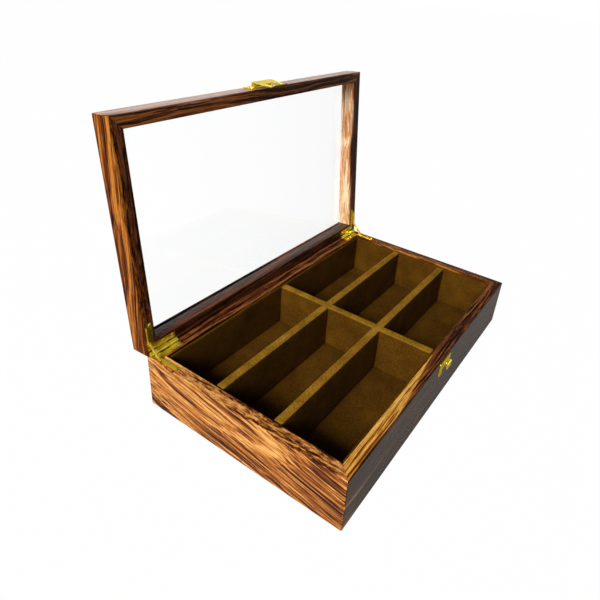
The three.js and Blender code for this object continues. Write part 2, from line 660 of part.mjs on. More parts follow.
// The lever hangs from its pin at the origin. Its sheet bends towards the box and flares at the tip.
function leverGeometry() {
  const innerFace = [
    [-LEVER_OFFSET, 0],
    [LEVER_SLOPE * LEVER_LIP_FROM - LEVER_OFFSET, -LEVER_LIP_FROM],
    [LEVER_SLOPE * LEVER_LIP_FROM - LEVER_OFFSET - LEVER_LIP_FLARE, -LEVER_LENGTH],
  ];
  const outerFace = innerFace.map(([y, z]) => [y - BRASS_SHEET, z]).reverse();
  const side = polygon([...innerFace, ...outerFace]);
  const sheet = acrossX(side, -LEVER_TOP_HALF_WIDTH, LEVER_TOP_HALF_WIDTH);
  const outline = roundedPolygon([
    [-LEVER_TOP_HALF_WIDTH, CUT_PAST],
    [-LEVER_TOP_HALF_WIDTH, -LEVER_SHOULDER],
    [-LEVER_TIP_HALF_WIDTH, -LEVER_LENGTH],
    [LEVER_TIP_HALF_WIDTH, -LEVER_LENGTH],
    [LEVER_TOP_HALF_WIDTH, -LEVER_SHOULDER],
    [LEVER_TOP_HALF_WIDTH, CUT_PAST],
  ], LEVER_CORNER_RADIUS);
  const keep = toSolid(facingFront(outline, -LEVER_CUTTER_DEPTH, LEVER_CUTTER_DEPTH));
  const trimmed = toGeometry(toSolid(sheet).intersect(keep));
  const window = roundedPolygon([
    [-WINDOW_BOTTOM_HALF_WIDTH, -WINDOW_BOTTOM],
    [WINDOW_BOTTOM_HALF_WIDTH, -WINDOW_BOTTOM],
    [WINDOW_TOP_HALF_WIDTH, -WINDOW_TOP],
    [-WINDOW_TOP_HALF_WIDTH, -WINDOW_TOP],
  ], WINDOW_CORNER);
  const roll = rodAlongX(LATCH_BARREL_RADIUS, -LEVER_KNUCKLE_HALF, LEVER_KNUCKLE_HALF);
  const web = block(-LEVER_KNUCKLE_HALF, LEVER_KNUCKLE_HALF, -LEVER_OFFSET - BRASS_SHEET / 2,
    -LATCH_BORE - ROLL_WALL_OVERLAP, -LATCH_BARREL_RADIUS, 0);
  const bore = rodAlongX(LATCH_BORE, -LEVER_TOP_HALF_WIDTH, LEVER_TOP_HALF_WIDTH);
  const opening = facingFront(window, -LEVER_CUTTER_DEPTH, LEVER_CUTTER_DEPTH);
  return cut(joined(trimmed, roll, web), bore, opening);
}

function latchPieces() {
  const plate = new THREE.Group();
  plate.position.set(0, -WIDTH, AXIS_TO_RIM);
  plate.add(piece('latch_plate', latchPlate(), BRASS));
  [-1, 1].forEach((side) => {
    const label = side < 0 ? 'left' : 'right';
    const screw = piece(`latch_screw_${label}`, FACE_SCREW, BRASS,
      side * LATCH_SCREW_X, -SHEET_STANDOFF - BRASS_SHEET - SCREW_SEAT, LATCH_SCREW_UP);
    screw.rotation.x = Math.PI / 2;
    plate.add(screw);
  });
  const pin = rodAlongX(LATCH_PIN_RADIUS, -PLATE_KNUCKLE_OUTER, PLATE_KNUCKLE_OUTER);
  plate.add(piece('latch_pin', pin, BRASS, 0, -LATCH_AXIS_OUT, LATCH_AXIS_UP));
  plate.add(piece('latch_lever', leverGeometry(), BRASS, 0, -LATCH_AXIS_OUT, LATCH_AXIS_UP));
  return plate;
}

// ---- Catch, in its own frame: y = 0 on the front face, z = 0 on the base's rim ----
function catchPlate() {
  const outline = roundedPolygon([
    [-CATCH_HALF_WIDTH, -CATCH_TOP],
    [-CATCH_HALF_WIDTH, -CATCH_BOTTOM],
    [-CATCH_NOTCH_HALF_WIDTH, -CATCH_BOTTOM],
    [-CATCH_NOTCH_HALF_WIDTH, -CATCH_NOTCH_TOP],
    [CATCH_NOTCH_HALF_WIDTH, -CATCH_NOTCH_TOP],
    [CATCH_NOTCH_HALF_WIDTH, -CATCH_BOTTOM],
    [CATCH_HALF_WIDTH, -CATCH_BOTTOM],
    [CATCH_HALF_WIDTH, -CATCH_TOP],
  ], CATCH_CORNER);
  const sheet = facingFront(outline, 0, BRASS_SHEET);
  const hookSide = polygon([
    [-BRASS_SHEET / 2, -HOOK_TOP],
    [-BRASS_SHEET / 2, -HOOK_TOP - HOOK_THICKNESS],
    [HOOK_THICKNESS - HOOK_REACH, -HOOK_TOP - HOOK_THICKNESS],
    [HOOK_THICKNESS - HOOK_REACH, -HOOK_BOTTOM],
    [-HOOK_REACH, -HOOK_BOTTOM],
    [-HOOK_REACH, -HOOK_TOP - HOOK_THICKNESS],
    [HOOK_THICKNESS - HOOK_REACH, -HOOK_TOP],
  ]);
  const hook = acrossX(hookSide, -HOOK_HALF_WIDTH, HOOK_HALF_WIDTH);
  const holes = [-1, 1].map((side) => (
    faceScrewHole().translate(side * CATCH_SCREW_X, 0, -CATCH_SCREW_DOWN)
  ));
  return cut(joined(sheet, hook), ...holes);
}

function catchPieces() {
  const group = new THREE.Group();
  group.position.set(0, -HALF_WIDTH, BASE_HEIGHT);
  group.add(piece('catch_plate', catchPlate(), BRASS));
  [-1, 1].forEach((side) => {
    const label = side < 0 ? 'left' : 'right';
    const screw = piece(`catch_screw_${label}`, FACE_SCREW, BRASS,
      side * CATCH_SCREW_X, -BRASS_SHEET, -CATCH_SCREW_DOWN);
    screw.rotation.x = Math.PI / 2;
    group.add(screw);
  });
  return group;
}

// ---- Assembly ----
const leftHinge = hingePieces('left', 1);
const rightHinge = hingePieces('right', -1);

const base = new THREE.Group();
base.add(...baseWalls(), bottomPanel(), ...liners(), ...dividers(), ...floorPads(), catchPieces());

const baseHinges = new THREE.Group();
baseHinges.position.set(0, HALF_WIDTH, AXIS_Z);
baseHinges.add(...leftHinge.onBase, ...rightHinge.onBase);

const lid = new THREE.Group();
lid.position.set(0, HALF_WIDTH, AXIS_Z);
lid.rotation.x = -OPEN_ANGLE;
lid.add(...lidFrame(), lidGlass(), ...leftHinge.onLid, ...rightHinge.onLid, latchPieces());

const organizer = new THREE.Group();
organizer.add(base, baseHinges, lid);

export default organizer;
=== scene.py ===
import json
import math

import bmesh
import bpy
from mathutils import Matrix, Vector, noise


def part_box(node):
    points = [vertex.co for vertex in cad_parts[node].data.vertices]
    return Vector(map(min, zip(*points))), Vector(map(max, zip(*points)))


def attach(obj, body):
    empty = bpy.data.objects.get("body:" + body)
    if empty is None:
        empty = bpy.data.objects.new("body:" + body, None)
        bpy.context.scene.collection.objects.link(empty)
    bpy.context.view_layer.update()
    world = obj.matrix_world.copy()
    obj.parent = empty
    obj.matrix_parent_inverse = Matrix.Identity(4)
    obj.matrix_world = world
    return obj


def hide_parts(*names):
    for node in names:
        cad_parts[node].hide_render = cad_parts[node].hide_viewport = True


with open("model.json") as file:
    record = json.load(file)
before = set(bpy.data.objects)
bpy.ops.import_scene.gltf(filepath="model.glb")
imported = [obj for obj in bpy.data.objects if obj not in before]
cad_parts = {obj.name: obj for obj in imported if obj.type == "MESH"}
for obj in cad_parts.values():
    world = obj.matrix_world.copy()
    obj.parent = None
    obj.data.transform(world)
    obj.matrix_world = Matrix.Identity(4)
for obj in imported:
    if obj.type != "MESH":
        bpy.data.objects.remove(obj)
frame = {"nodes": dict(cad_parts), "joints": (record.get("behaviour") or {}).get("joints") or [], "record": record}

# A six-compartment glasses box in rosewood, with a glass lid, brass fittings and a cloth lining.
# Metres, +Z up, front towards -Y. The lid stands open at rest.

MM = 0.001
WELD = 2e-6
NEAR = 5 * WELD
FLAT_WITHIN = math.radians(0.8)
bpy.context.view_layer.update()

# ---- Places and sizes taken from the frame ----
JOINTS = {joint["name"]: joint for joint in frame["joints"]}
HINGE = Vector(JOINTS["lid_hinge"]["pos_m"])
OPEN_ANGLE = math.radians(JOINTS["lid_hinge"]["range_deg"][1])
REST = Matrix.Identity(4)
# Lid pieces are made in the frame of the closed lid, with its origin on the hinge axis.
LID = Matrix.Translation(HINGE) @ Matrix.Rotation(-OPEN_ANGLE, 4, "X")

BASE_LOW, BASE_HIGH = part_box("base_front_wall")
BASE_HIGH = Vector((BASE_HIGH.x, -BASE_LOW.y, BASE_HIGH.z))
INNER_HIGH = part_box("base_bottom_panel")[1]
WALL = BASE_HIGH.x - INNER_HIGH.x
LID_GAP = HINGE.z - BASE_HIGH.z
FRONT_RAIL = frame["nodes"]["lid_front_rail"].data
LID_DEPTH = max((LID.inverted() @ vertex.co).z for vertex in FRONT_RAIL.vertices) - LID_GAP


# ---------------------------------------------------------------- Node helpers
def new_material(name):
    material = bpy.data.materials.new(name)
    material.use_nodes = True
    tree = material.node_tree
    tree.nodes.clear()
    return material, tree


def add(tree, kind, inputs=None, **settings):
    """A new node. Inputs are given by name or index, as values or as sockets to link from."""
    node = tree.nodes.new(kind)
    for key, value in settings.items():
        setattr(node, key, value)
    for key, value in (inputs or {}).items():
        if isinstance(value, bpy.types.NodeSocket):
            tree.links.new(value, node.inputs[key])
        else:
            node.inputs[key].default_value = value
    return node


def maths(tree, operation, a, b=0.0, c=0.0, clamp=False):
    node = add(tree, "ShaderNodeMath", {0: a, 1: b, 2: c}, operation=operation, use_clamp=clamp)
    return node.outputs[0]


def vector_maths(tree, operation, a, b):
    node = add(tree, "ShaderNodeVectorMath", {0: a, 1: b}, operation=operation)
    return node.outputs["Value" if operation in ("DOT_PRODUCT", "LENGTH") else "Vector"]


def object_place(tree):
    """Object coordinates, in metres and in millimetres."""
    metres = add(tree, "ShaderNodeTexCoord").outputs["Object"]
    return metres, vector_maths(tree, "MULTIPLY", metres, (1 / MM, 1 / MM, 1 / MM))


def stretched_noise(tree, vector, scale, detail, roughness=0.5):
    """Noise whose frequency differs by axis: scale is in cycles per millimetre."""
    stretched = vector_maths(tree, "MULTIPLY", vector, scale)
    return add(tree, "ShaderNodeTexNoise",
               {"Vector": stretched, "Scale": 1.0, "Detail": detail, "Roughness": roughness})


def mixed_tone(tree, parts):
    """0.5 plus, for each (part, weight), the part's distance from 0.5 times its weight."""
    tone = 0.5
    for part, weight in parts:
        tone = maths(tree, "MULTIPLY_ADD", maths(tree, "SUBTRACT", part, 0.5), weight, tone)
    return tone


def mix_colour(tree, factor, a, b, blend="MIX"):
    """The Mix node's colours are its inputs 6 and 7, and its output 2."""
    node = add(tree, "ShaderNodeMix", {0: factor, 6: a, 7: b}, data_type="RGBA", blend_type=blend)
    return node.outputs[2]


def map_range(tree, value, low, high, to_low=0.0, to_high=1.0, smooth=False):
    node = add(tree, "ShaderNodeMapRange", {0: value, 1: low, 2: high, 3: to_low, 4: to_high},
               interpolation_type="SMOOTHSTEP" if smooth else "LINEAR")
    return node.outputs[0]


def ramp(tree, value, stops):
    node = add(tree, "ShaderNodeValToRGB", {0: value})
    elements = node.color_ramp.elements
    while len(elements) < len(stops):
        elements.new(0.5)
    for element, (position, colour) in zip(elements, stops):
        element.position = position
        element.color = srgb(colour)
    return node.outputs["Color"]


def srgb(hex_colour):
    channels = [int(hex_colour[i:i + 2], 16) / 255 for i in (0, 2, 4)]
    linear = [c / 12.92 if c <= 0.04045 else ((c + 0.055) / 1.055) ** 2.4 for c in channels]
    return (*linear, 1.0)


def surface(tree, **inputs):
    """The Principled shader with its inputs, joined to the output."""
    named = {key.replace("_", " "): value for key, value in inputs.items()}
    shader = add(tree, "ShaderNodeBsdfPrincipled", named)
    add(tree, "ShaderNodeOutputMaterial", {"Surface": shader.outputs[0]})


# ---------------------------------------------------------------- Rosewood
ORANGE_GRAIN = [
    (0.06, "2a1006"),
    (0.28, "6a3413"),
    (0.46, "a96128"),
    (0.62, "d28b42"),
    (0.86, "efb265"),
]
AMBER_GRAIN = [
    (0.10, "1e0902"),
    (0.32, "482007"),
    (0.50, "74380e"),
    (0.66, "955219"),
    (0.88, "be7a30"),
]
BROWN_GRAIN = [
    (0.24, "1c0b05"),
    (0.40, "45200f"),
    (0.54, "683418"),
    (0.66, "874a22"),
    (0.80, "a2622e"),
]
GOLDEN_GRAIN = [
    (0.20, "763810"),
    (0.34, "c47826"),
    (0.50, "eaa43e"),
    (0.70, "fac462"),
]
DARK_GRAIN = [
    (0.24, "140904"),
    (0.44, "35180c"),
    (0.60, "552b16"),
    (0.78, "7a4423"),
]
PEACH_GRAIN = [
    (0.20, "c97c4e"),
    (0.42, "eeaf78"),
    (0.58, "fbd0a0"),
    (0.76, "ffeac6"),
]
# Pale pink for the lid's front rail: partly pale sapwood, partly a painted highlight of the light from above.
PINK_GRAIN_AND_HIGHLIGHT = [
    (0.20, "a25e40"),
    (0.42, "ce9270"),
    (0.58, "e2ae8c"),
    (0.76, "f0caae"),
]
PORE_COLOUR = "1c0c06"

# Each seed shows another part of the same endless log. Millimetres, along and across the fibres.
SEED_STEP = (137.0, 71.0, 53.0)
PITH = (60.0, -35.0)
LARGEST_BEND = 9.0
# Frequencies, in cycles per millimetre, of the rings and then along and across the fibres.
RING_FREQUENCY = 0.28
BEND_SCALE = (0.006, 0.02, 0.02)
WISP_SCALE = (0.012, 0.34, 0.34)
PATCH_SCALE = (0.008, 0.035, 0.035)
LINE_SCALE = (0.017, 0.85, 0.85)
DRIFT_SCALE = (0.01, 0.1, 0.1)
FIBRE_SCALE = (0.06, 2.2, 2.2)
PORE_SCALE = (0.16, 3.4, 3.4)
RING_WEIGHT, WISP_WEIGHT, PATCH_WEIGHT, LINE_WEIGHT = 1.9, 1.4, 0.5, 2.3
DARKEST_FIBRE, LIGHTEST_FIBRE = 0.62, 1.3
PORES_FROM, PORES_FULLY, PORE_SHARE = 0.58, 0.68, 0.6
LACQUER_ROUGHNESS = 0.12


def rosewood(name, seed, grain_colours, hearts=(), across_y=False, tilt=0.0, wander=2.5,
             reflection=0.04, shine=0.12, plain_shine=None, roughness=0.38):
    """Lacquered rosewood: growth rings around a bent pith, with wisps, lines, fibres and pores.

    Each of hearts is a (colours, direction, start, end) that blends into other grain colours
    between start and end, in millimetres along direction, and wander is about how far that edge
    strays. tilt turns the fibres in the board's height. plain_shine is the shine outside the
    hearts, where it differs.
    """
    material, tree = new_material(name)
    board = object_place(tree)[1]
    turn = (0.0, 0.0, math.pi / 2) if across_y else (0.0, 0.0, 0.0)
    along = add(tree, "ShaderNodeMapping", {"Vector": board, "Rotation": turn}, vector_type="POINT")
    grain = add(tree, "ShaderNodeMapping",
                {"Vector": along.outputs[0], "Rotation": (0.0, tilt, 0.0),
                 "Location": tuple(seed * step for step in SEED_STEP)}, vector_type="POINT")
    p = grain.outputs[0]

    bend = stretched_noise(tree, p, BEND_SCALE, 2.0)
    centred = vector_maths(tree, "SUBTRACT", bend.outputs["Color"], (0.5, 0.5, 0.5))
    shift = vector_maths(tree, "MULTIPLY", centred, (0.0, LARGEST_BEND * 2, LARGEST_BEND * 2))
    bent = vector_maths(tree, "ADD", p, shift)
    offset = (0.0, -seed * SEED_STEP[1] + PITH[0], -seed * SEED_STEP[2] + PITH[1])
    from_pith = vector_maths(tree, "ADD", bent, offset)
    radial = vector_maths(tree, "MULTIPLY", from_pith, (0.0, 1.0, 1.0))
    radius = vector_maths(tree, "LENGTH", radial, (0.0, 0.0, 0.0))
    rings = add(tree, "ShaderNodeTexNoise",
                {"W": maths(tree, "MULTIPLY", radius, RING_FREQUENCY), "Scale": 1.0,
                 "Detail": 3.0, "Roughness": 0.62}, noise_dimensions="1D").outputs[0]
    wisps = stretched_noise(tree, bent, WISP_SCALE, 3.0, 0.6).outputs[0]
    patches = stretched_noise(tree, p, PATCH_SCALE, 1.0).outputs[0]
    lines = stretched_noise(tree, bent, LINE_SCALE, 3.0, 0.65).outputs[0]
    tone = mixed_tone(tree, ((rings, RING_WEIGHT), (wisps, WISP_WEIGHT),
                             (patches, PATCH_WEIGHT), (lines, LINE_WEIGHT)))

    colour = ramp(tree, tone, grain_colours)
    gloss = shine
    drift = stretched_noise(tree, bent, DRIFT_SCALE, 2.0).outputs[0]
    for heart_colours, direction, start, end in hearts:
        reach = vector_maths(tree, "DOT_PRODUCT", board, direction)
        wavering = maths(tree, "SUBTRACT", drift, 0.5)
        reach = maths(tree, "MULTIPLY_ADD", wavering, wander * 4, reach)
        share = map_range(tree, reach, start, end, smooth=True)
        colour = mix_colour(tree, share, colour, ramp(tree, tone, heart_colours))
        if plain_shine is not None:
            gloss = map_range(tree, share, 0.0, 1.0, plain_shine, shine)

    fibres = stretched_noise(tree, p, FIBRE_SCALE, 2.0, 0.6).outputs[0]
    fibre_tone = map_range(tree, fibres, 0.3, 0.7, DARKEST_FIBRE, LIGHTEST_FIBRE)
    colour = mix_colour(tree, 1.0, colour, fibre_tone, "MULTIPLY")
    pores = stretched_noise(tree, p, PORE_SCALE, 1.0).outputs[0]
    pore_share = map_range(tree, pores, PORES_FROM, PORES_FULLY, 0.0, PORE_SHARE)
    colour = mix_colour(tree, pore_share, colour, srgb(PORE_COLOUR))

    depth = maths(tree, "SUBTRACT", maths(tree, "MULTIPLY", fibres, 0.5), pore_share)
    bump = add(tree, "ShaderNodeBump", {"Height": depth, "Strength": 0.12, "Distance": 0.2 * MM})
    rough = map_range(tree, tone, 0.3, 0.7, roughness - 0.04, roughness + 0.04)
    surface(tree, Base_Color=colour, Roughness=rough, Normal=bump.outputs[0],
            Coat_Weight=reflection, Coat_Roughness=LACQUER_ROUGHNESS, Specular_IOR_Level=gloss)
    return material


# ---------------------------------------------------------------- Other materials
CLOTH_COLOURS = [(0.25, "2c1a02"), (0.5, "523404"), (0.75, "744d0c")]
# Lighter cloth colours for a painted sheen along the dividers' tops.
TOP_SHEEN_COLOURS = [(0.25, "4c3204"), (0.5, "906814"), (0.75, "c4943a")]
# How far below the dividers' tops the painted sheen starts and is complete.
TOP_SHEEN_FROM, TOP_SHEEN_FULLY = 1.1 * MM, 0.3 * MM


def lining_cloth(name, sheen_on_tops):
    """Suede-like cloth. With its second argument true, it is lighter along the tops of the dividers: a painted
    sheen where the light from above falls.
    """
    material, tree = new_material(name)
    place, p = object_place(tree)
    nap = stretched_noise(tree, p, (0.9, 0.9, 0.9), 3.0, 0.7).outputs[0]
    speckle = stretched_noise(tree, p, (2.2, 2.2, 2.2), 1.0).outputs[0]
    patches = stretched_noise(tree, p, (0.04, 0.04, 0.04), 3.0, 0.6).outputs[0]
    tone = mixed_tone(tree, ((nap, 0.8), (speckle, 0.6), (patches, 0.45)))
    colour = ramp(tree, tone, CLOTH_COLOURS)
    # Painted sheen: the dividers' tops are coloured lighter, as if lit from above.
    if sheen_on_tops:
        top_sheen_colour = ramp(tree, tone, TOP_SHEEN_COLOURS)
        height = add(tree, "ShaderNodeSeparateXYZ", {"Vector": place}).outputs["Z"]
        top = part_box("divider_long_front")[1].z
        rubbing_and_top_sheen = map_range(tree, height, top - TOP_SHEEN_FROM, top - TOP_SHEEN_FULLY, smooth=True)
        colour = mix_colour(tree, rubbing_and_top_sheen, colour, top_sheen_colour)
    bump = add(tree, "ShaderNodeBump", {"Height": nap, "Strength": 0.4, "Distance": 0.15 * MM})
    surface(tree, Base_Color=colour, Roughness=0.95, Normal=bump.outputs[0],
            Specular_IOR_Level=0.1)
    return material


BRASS_COLOURS = [(0.3, "ecc638"), (0.5, "fbdf46"), (0.7, "fff06a")]
BRASS_AT_GRAZING = "fff08c"
# Dark colour for tarnish and painted shade in the brass's recesses and between its parts.
TARNISH_AND_SHADE_COLOUR = "3a2406"
TARNISH_AND_SHADE_REACH = 1.6 * MM


def polished_brass():
    """Lacquered brass, darkened in its recesses by tarnish and by painted shade."""
    material, tree = new_material("polished_brass")
    p = object_place(tree)[1]
    cloud = stretched_noise(tree, p, (0.3, 0.3, 0.3), 3.0, 0.6).outputs[0]
    rubbing_and_top_sheen = stretched_noise(tree, p, (4.0, 0.4, 4.0), 2.0).outputs[0]
    colour = ramp(tree, cloud, BRASS_COLOURS)
    # Painted shade and tarnish: the colour darkens in recesses and between parts.
    openness = add(tree, "ShaderNodeAmbientOcclusion", {"Distance": TARNISH_AND_SHADE_REACH},
                   samples=16).outputs["AO"]
    tarnish_and_shade = map_range(tree, openness, 0.2, 0.65, 1.0, 0.0, smooth=True)
    colour = mix_colour(tree, tarnish_and_shade, colour, srgb(TARNISH_AND_SHADE_COLOUR))
    rough = map_range(tree, rubbing_and_top_sheen, 0.3, 0.7, 0.12, 0.2)
    bump = add(tree, "ShaderNodeBump", {"Height": cloud, "Strength": 0.08, "Distance": 0.2 * MM})
    surface(tree, Base_Color=colour, Metallic=0.68, Roughness=rough, Normal=bump.outputs[0],
            Specular_Tint=srgb(BRASS_AT_GRAZING))
    return material


def clear_glass():
    """Clear glass that casts no dark shadow."""
    material, tree = new_material("clear_glass")
    glass = add(tree, "ShaderNodeBsdfPrincipled",
                {"Base Color": (0.985, 0.995, 0.99, 1.0), "Roughness": 0.0, "IOR": 1.45,
                 "Transmission Weight": 1.0})
    lets_light_through = add(tree, "ShaderNodeBsdfTransparent")
    path = add(tree, "ShaderNodeLightPath")
    both = add(tree, "ShaderNodeMixShader",
               {0: path.outputs["Is Shadow Ray"], 1: glass.outputs[0],
                2: lets_light_through.outputs[0]})
    add(tree, "ShaderNodeOutputMaterial", {"Surface": both.outputs[0]})
    return material


def bottom_board():
    """Plain, unlacquered plywood with small dark flecks."""
    material, tree = new_material("bottom_board")
    p = object_place(tree)[1]
    grain = stretched_noise(tree, p, (0.02, 0.9, 0.9), 4.0, 0.6).outputs[0]
    flecks = stretched_noise(tree, p, (0.3, 2.4, 2.4), 2.0).outputs[0]
    colour = ramp(tree, grain, [(0.3, "6f4d2c"), (0.5, "94704a"), (0.7, "b08a5e")])
    share = map_range(tree, flecks, 0.6, 0.72, 0.0, 0.5)
    colour = mix_colour(tree, share, colour, srgb("4a3018"))
    bump = add(tree, "ShaderNodeBump", {"Height": grain, "Strength": 0.2, "Distance": 0.2 * MM})
    surface(tree, Base_Color=colour, Roughness=0.72, Normal=bump.outputs[0])
    return material


# ---------------------------------------------------------------- Mesh helpers
def node_mesh(node, matrix=REST):
    """The CAD node's shape, welded, with flat faces rejoined, in the frame given by matrix."""
    bm = bmesh.new()
    bm.from_mesh(frame["nodes"][node].data)
    bm.transform(matrix.inverted())
    bmesh.ops.remove_doubles(bm, verts=bm.verts, dist=WELD)
    bmesh.ops.dissolve_limit(bm, angle_limit=FLAT_WITHIN, verts=bm.verts, edges=bm.edges)
    return bm


def bevel(bm, edges, radius, segments):
    if edges:
        bmesh.ops.bevel(bm, geom=edges, offset=radius, offset_type="OFFSET", segments=segments,
                        profile=0.5, affect="EDGES", clamp_overlap=True)


def to_object(name, bm):
    mesh = bpy.data.meshes.new(name)
    bm.to_mesh(mesh)
    bm.free()
    made = bpy.data.objects.new(name, mesh)
    bpy.context.scene.collection.objects.link(made)
    return made


def apply_modifiers(made):
    """Replaces the object's mesh with its modified one."""
    graph = bpy.context.evaluated_depsgraph_get()
    mesh = bpy.data.meshes.new_from_object(made.evaluated_get(graph))
    made.modifiers.clear()
    old = made.data
    made.data = mesh
    mesh.name = made.name
    bpy.data.meshes.remove(old)


def keep_within(made, other):
    """Cuts away what lies outside the other object, which is then removed."""
    modifier = made.modifiers.new("cut", "BOOLEAN")
    modifier.operation = "INTERSECT"
    modifier.solver = "EXACT"
    modifier.object = other
    bpy.context.view_layer.update()
    apply_modifiers(made)
    bpy.data.objects.remove(other)


def shade(made, sharp_degrees, weighted=True):
    """Smooth shading, with edges sharper than the angle kept crisp."""
    mesh = made.data
    mesh.polygons.foreach_set("use_smooth", [True] * len(mesh.polygons))
    mesh.set_sharp_from_angle(angle=math.radians(sharp_degrees))
    if weighted:
        modifier = made.modifiers.new("normals", "WEIGHTED_NORMAL")
        modifier.keep_sharp = True
        modifier.weight = 80


def settle(made, body, material, node, matrix=REST):
    """Places the piece, gives it its material, hangs it on its body, and hides the CAD part it stands for."""
    made.data.materials.clear()
    made.data.materials.append(material)
    made.matrix_world = matrix
    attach(made, body)
    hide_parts(node)


# ---------------------------------------------------------------- Wooden boards
OUTER_RADIUS = 1.2 * MM
INNER_ARRIS = 0.45 * MM
SHORTEST_ARRIS = 20 * MM
ENVELOPE_MARGIN = 0.015 * MM
NEARLY_SQUARE = 0.9 * MM
HINGE_LINE_RISE = 1.67 * LID_GAP
HINGE_LINE_REACH = 0.67 * LID_GAP


def rounded_envelope(low, high, radius):
    """The space inside a box with rounded edges, a hair larger than the boards it trims.

    It reaches below and behind the boards, so that the edges they stand on and the edges at the
    hinge line stay nearly square.
    """
    bm = bmesh.new()
    bmesh.ops.create_cube(bm, size=1.0)
    margin = Vector((ENVELOPE_MARGIN,) * 3)
    low = low - margin - Vector((0, 0, NEARLY_SQUARE))
    high = high + margin + Vector((0, NEARLY_SQUARE, 0))
    for vertex in bm.verts:
        vertex.co = Vector((
            low.x if vertex.co.x < 0 else high.x,
            low.y if vertex.co.y < 0 else high.y,
            low.z if vertex.co.z < 0 else high.z,
        ))
    bevel(bm, list(bm.edges), radius, segments=6)
    return to_object("envelope", bm)


def inner_arrises(bm, half_x, low_y, high_y, heights):
    """Edges of the opening that lie at one of the heights."""
    def on_opening(co):
        on_end = abs(abs(co.x) - half_x) < NEAR and low_y - NEAR < co.y < high_y + NEAR
        on_side = min(abs(co.y - low_y), abs(co.y - high_y)) < NEAR and abs(co.x) < half_x + NEAR
        return on_end or on_side

    def at_height(co):
        return any(abs(co.z - height) < NEAR for height in heights)

    return [
        edge for edge in bm.edges
        if all(on_opening(vertex.co) and at_height(vertex.co) for vertex in edge.verts)
        and edge.calc_length() > SHORTEST_ARRIS
    ]


def raise_hinge_line(bm, high):
    """Moves the rim's rear edge up and back by a hair, so no light shows under the open lid."""
    for vertex in bm.verts:
        if vertex.co.y > high.y - NEAR and vertex.co.z > high.z - NEAR:
            vertex.co += Vector((0, HINGE_LINE_REACH, HINGE_LINE_RISE))


def board(node, low, high, heights, material, slot, matrix=REST):
    """A wall or rail, its opening's edges eased and its outer edges rounded.

    low and high are the corners of the whole box or lid, and heights those of its rims.
    """
    bm = node_mesh(node, matrix)
    edges = inner_arrises(bm, high.x - WALL, low.y + WALL, high.y - WALL, heights)
    bevel(bm, edges, INNER_ARRIS, segments=3)
    if node == "base_back_wall":
        raise_hinge_line(bm, high)
        high = high + Vector((0, HINGE_LINE_RISE, HINGE_LINE_RISE))
    made = to_object(node + "_wood", bm)
    keep_within(made, rounded_envelope(low, high, OUTER_RADIUS))
    shade(made, 28.0)
    body = "lid" if node.startswith("lid") else "base"
    settle(made, body, material, node, matrix)


# The lid's corners, in the frame of the closed lid.
LID_LOW = Vector((BASE_LOW.x, 2 * BASE_LOW.y, LID_GAP))
LID_HIGH = Vector((BASE_HIGH.x, 0.0, LID_GAP + LID_DEPTH))
BASE_RIMS = [BASE_HIGH.z]
LID_RIMS = [LID_LOW.z, LID_HIGH.z]

left_wood = rosewood("rosewood_left_wall", 1.0, ORANGE_GRAIN, across_y=True,
                     tilt=math.radians(-10))
right_wood = rosewood("rosewood_right_wall", 2.0, AMBER_GRAIN,
                      [(BROWN_GRAIN, (1, 0, 0), 163.0, 166.0)], across_y=True,
                      tilt=math.radians(-7))
front_wood = rosewood("rosewood_front_wall", 3.0, GOLDEN_GRAIN,
                      [(BROWN_GRAIN, (0.12, -1, 0), 88.6, 90.6),
                       (DARK_GRAIN, (0, -1, 0), 99.8, 100.6)],
                      wander=1.0, reflection=0.0, shine=0.09, roughness=0.15)
back_wood = rosewood("rosewood_back_wall", 4.0, BROWN_GRAIN, tilt=math.radians(3))
lid_left_wood = rosewood("rosewood_lid_left", 5.0, AMBER_GRAIN,
                         [(DARK_GRAIN, (1, 0, 0), -168.0, -165.0)], across_y=True,
                         tilt=math.radians(-6), reflection=0.0, shine=0.06)
lid_right_wood = rosewood("rosewood_lid_right", 6.0, DARK_GRAIN,
                          [(PEACH_GRAIN, (-0.75, 0, 0.66), -119.0, -116.0)], across_y=True)
# Its pale pink part is partly sapwood, partly a painted highlight.
lid_front_wood = rosewood("rosewood_lid_front", 7.0, PINK_GRAIN_AND_HIGHLIGHT,
                          [(BROWN_GRAIN, (0, 1, -0.3), -203.0, -201.0)], shine=0.07,
                          plain_shine=0.7)
lid_back_wood = rosewood("rosewood_lid_back", 8.0, DARK_GRAIN, tilt=math.radians(2))

for node, wood in (
    ("base_left_wall", left_wood),
    ("base_right_wall", right_wood),
    ("base_front_wall", front_wood),
    ("base_back_wall", back_wood),
):
    board(node, BASE_LOW, BASE_HIGH, BASE_RIMS, wood, "rosewood_walls")

for node, wood in (
    ("lid_left_rail", lid_left_wood),
    ("lid_right_rail", lid_right_wood),
    ("lid_front_rail", lid_front_wood),
    ("lid_back_rail", lid_back_wood),
):
    board(node, LID_LOW, LID_HIGH, LID_RIMS, wood, "rosewood_lid", LID)


# ---------------------------------------------------------------- Lining
CLOTH = lining_cloth("lining_cloth", False)
DIVIDER_CLOTH = lining_cloth("divider_cloth", True)
CELL = 2.2 * MM
FEWEST_CELLS, MOST_CELLS = 2, 160
CORNER_STEPS = 3
CROWN_POWER = 4
# Frequency in cycles per millimetre, and share of the whole.
COARSE_LUMPS = (0.05, 0.7)
FINE_LUMPS = (0.22, 0.3)
# How unevenly the fold's edge runs and how wide it is, and how unevenly the fold stands out.
FOLD_WAVE = 0.5 * MM
FOLD_EDGE = 0.4 * MM
FOLD_HEIGHT_SHARE = 0.8
FOLD_PINCH = 0.35


def grid_lines(low, high, radius):
    """Where a rounded box is cut along one axis: close together in its corners, even between."""
    count = max(FEWEST_CELLS, min(MOST_CELLS, round((high - low) / CELL)))
    inner = [low + radius + (high - low - 2 * radius) * k / count for k in range(count + 1)]
    curve = [radius * (1 - math.cos(math.pi / 2 * k / CORNER_STEPS)) for k in range(CORNER_STEPS)]
    return [low + c for c in curve] + inner + [high - c for c in reversed(curve)]


